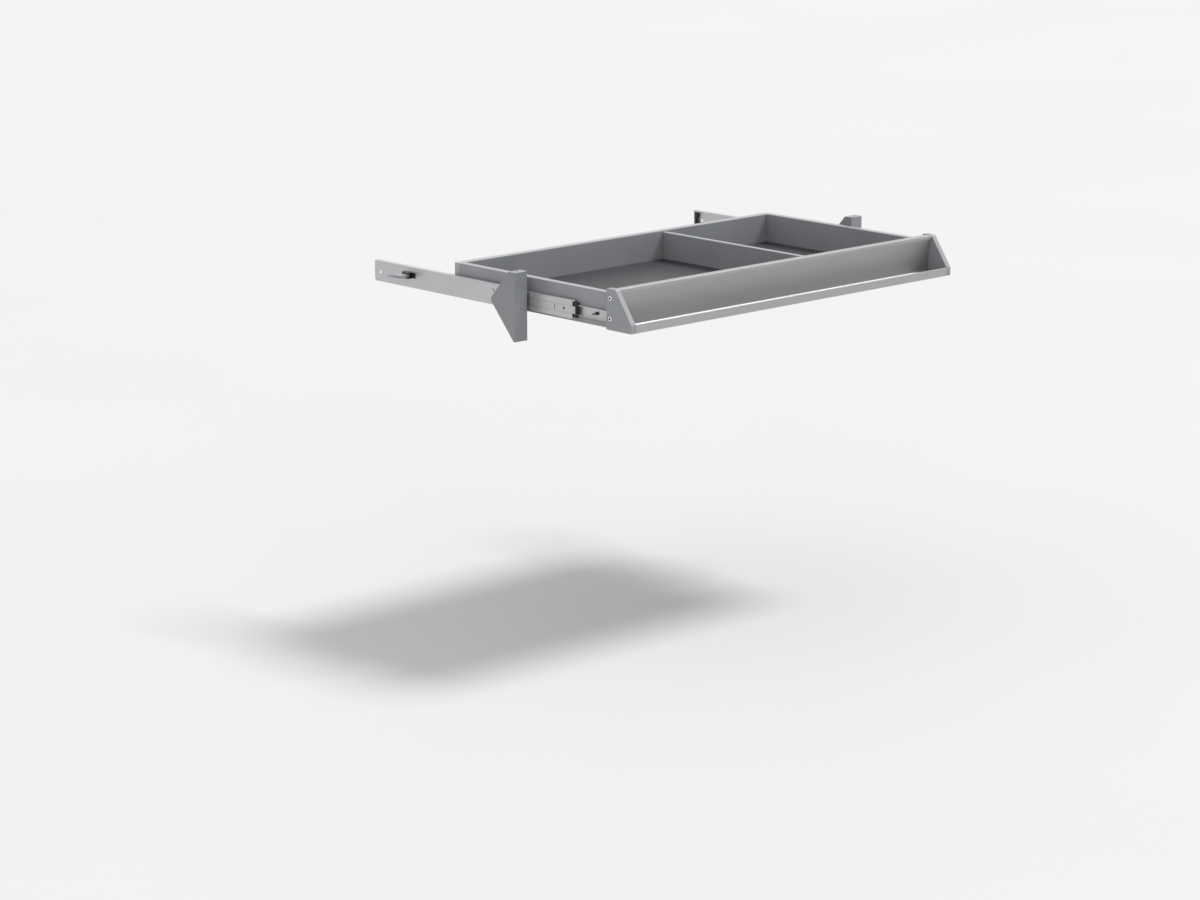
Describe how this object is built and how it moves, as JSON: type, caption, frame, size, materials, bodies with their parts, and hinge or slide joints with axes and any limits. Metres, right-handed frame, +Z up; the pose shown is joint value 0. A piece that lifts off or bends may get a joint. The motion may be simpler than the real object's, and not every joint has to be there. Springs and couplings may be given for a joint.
{
  "type": "under desk drawer",
  "caption": "Wide shallow under-desk drawer with a sloping pen tray front, divided compartments, telescopic ball-bearing slides and hanger brackets.",
  "frame": {"origin": "midway between the two hanger brackets, on the underside of the desktop, in the plane of the brackets' front faces", "axes": "+X to the right seen from the front, +Y towards the back of the desk, +Z up; the drawer pulls out along -Y"},
  "size_m": [0.814, 0.618, 0.113],
  "materials": {
    "anodised_aluminium": "satin natural anodised extrusion",
    "grey_plastic": "fine textured injection moulding",
    "light_plastic": "fine textured injection moulding, paler than the end caps",
    "grey_steel": "grey powder coat on folded sheet steel",
    "dark_board": "anthracite coated panel, matt",
    "bracket_steel": "grey powder coat on folded sheet steel",
    "zinc_steel": "bright zinc plated roll-formed steel",
    "ball_steel": "polished balls in a zinc plated strip",
    "black_plastic": "black moulded polyamide",
    "screw_steel": "bright zinc plated"
  },
  "bodies": {
    "mounting": {"left_outer_rail": "zinc_steel", "left_rear_stop": "black_plastic", "left_hanger_bracket": "bracket_steel", "left_bracket_screw_lower": "screw_steel", "left_bracket_screw_upper": "screw_steel", "left_lever_housing": "black_plastic", "left_lever_pin": "screw_steel", "right_outer_rail": "zinc_steel", "right_rear_stop": "black_plastic", "right_hanger_bracket": "bracket_steel", "right_bracket_screw_lower": "screw_steel", "right_bracket_screw_upper": "screw_steel", "right_lever_housing": "black_plastic", "right_lever_pin": "screw_steel"},
    "left_middle": {"left_middle_rail": "zinc_steel"},
    "right_middle": {"right_middle_rail": "zinc_steel"},
    "drawer": {"front_profile": "anodised_aluminium", "back_wall": "grey_steel", "drawer_floor": "dark_board", "divider": "grey_steel", "left_end_cap": "grey_plastic", "left_cap_screw_lower": "screw_steel", "left_cap_screw_upper": "screw_steel", "left_side_wall": "grey_steel", "left_rear_corner": "light_plastic", "left_front_connector": "grey_plastic", "left_drawer_rail": "zinc_steel", "left_rail_screw_front": "screw_steel", "left_rail_screw_rear": "screw_steel", "left_tab_rivet": "screw_steel", "right_end_cap": "grey_plastic", "right_cap_screw_lower": "screw_steel", "right_cap_screw_upper": "screw_steel", "right_side_wall": "grey_steel", "right_rear_corner": "light_plastic", "right_front_connector": "grey_plastic", "right_drawer_rail": "zinc_steel", "right_rail_screw_front": "screw_steel", "right_rail_screw_rear": "screw_steel", "right_tab_rivet": "screw_steel"},
    "left_tab": {"left_disconnect_tab": "black_plastic"},
    "left_inner_cage": {"left_cage_nose": "black_plastic", "left_inner_ball_cage": "ball_steel"},
    "left_outer_cage": {"left_outer_ball_cage": "ball_steel"},
    "left_lever": {"left_release_lever": "grey_plastic"},
    "right_tab": {"right_disconnect_tab": "black_plastic"},
    "right_inner_cage": {"right_cage_nose": "black_plastic", "right_inner_ball_cage": "ball_steel"},
    "right_outer_cage": {"right_outer_ball_cage": "ball_steel"},
    "right_lever": {"right_release_lever": "grey_plastic"}
  },
  "joints": [
    {"name": "left_middle_slide", "type": "slide", "parent": "mounting", "child": "left_middle", "axis": [0, -1, 0], "range_m": [-0.136, 0.039]},
    {"name": "drawer_slide", "type": "slide", "parent": "left_middle", "child": "drawer", "axis": [0, -1, 0], "range_m": [-0.075, 0.099]},
    {"name": "right_middle_slide", "type": "slide", "parent": "mounting", "child": "right_middle", "axis": [0, -1, 0], "range_m": [-0.136, 0.039]},
    {"name": "left_outer_cage_slide", "type": "slide", "parent": "mounting", "child": "left_outer_cage", "axis": [0, -1, 0], "range_m": [-0.068, 0.0195]},
    {"name": "left_inner_cage_slide", "type": "slide", "parent": "left_middle", "child": "left_inner_cage", "axis": [0, -1, 0], "range_m": [-0.0375, 0.0495]},
    {"name": "right_outer_cage_slide", "type": "slide", "parent": "mounting", "child": "right_outer_cage", "axis": [0, -1, 0], "range_m": [-0.068, 0.0195]},
    {"name": "right_inner_cage_slide", "type": "slide", "parent": "right_middle", "child": "right_inner_cage", "axis": [0, -1, 0], "range_m": [-0.0375, 0.0495]},
    {"name": "left_lever_hinge", "type": "hinge", "parent": "mounting", "child": "left_lever", "pos_m": [-0.3854, 0.2945, -0.04575], "axis": [0, 0, 1], "range_deg": [-12, 0], "stiffness_Nm_per_rad": 0.05, "springref_deg": 11.46},
    {"name": "left_tab_hinge", "type": "hinge", "parent": "drawer", "child": "left_tab", "pos_m": [-0.3697, -0.1516, -0.049], "axis": [1, 0, 0], "range_deg": [-8, 0], "stiffness_Nm_per_rad": 0.02, "springref_deg": 11.46},
    {"name": "right_lever_hinge", "type": "hinge", "parent": "mounting", "child": "right_lever", "pos_m": [0.3854, 0.2945, -0.04575], "axis": [0, 0, 1], "range_deg": [0, 12], "stiffness_Nm_per_rad": 0.05, "springref_deg": -11.46},
    {"name": "right_tab_hinge", "type": "hinge", "parent": "drawer", "child": "right_tab", "pos_m": [0.3697, -0.1516, -0.049], "axis": [1, 0, 0], "range_deg": [-8, 0], "stiffness_Nm_per_rad": 0.02, "springref_deg": 11.46}
  ],
  "couplings": [
    {"joint": "right_middle_slide", "follows": "left_middle_slide", "ratio": 1},
    {"joint": "left_outer_cage_slide", "follows": "left_middle_slide", "ratio": 0.5},
    {"joint": "left_inner_cage_slide", "follows": "drawer_slide", "ratio": 0.5},
    {"joint": "right_outer_cage_slide", "follows": "left_middle_slide", "ratio": 0.5},
    {"joint": "right_inner_cage_slide", "follows": "drawer_slide", "ratio": 0.5}
  ]
}
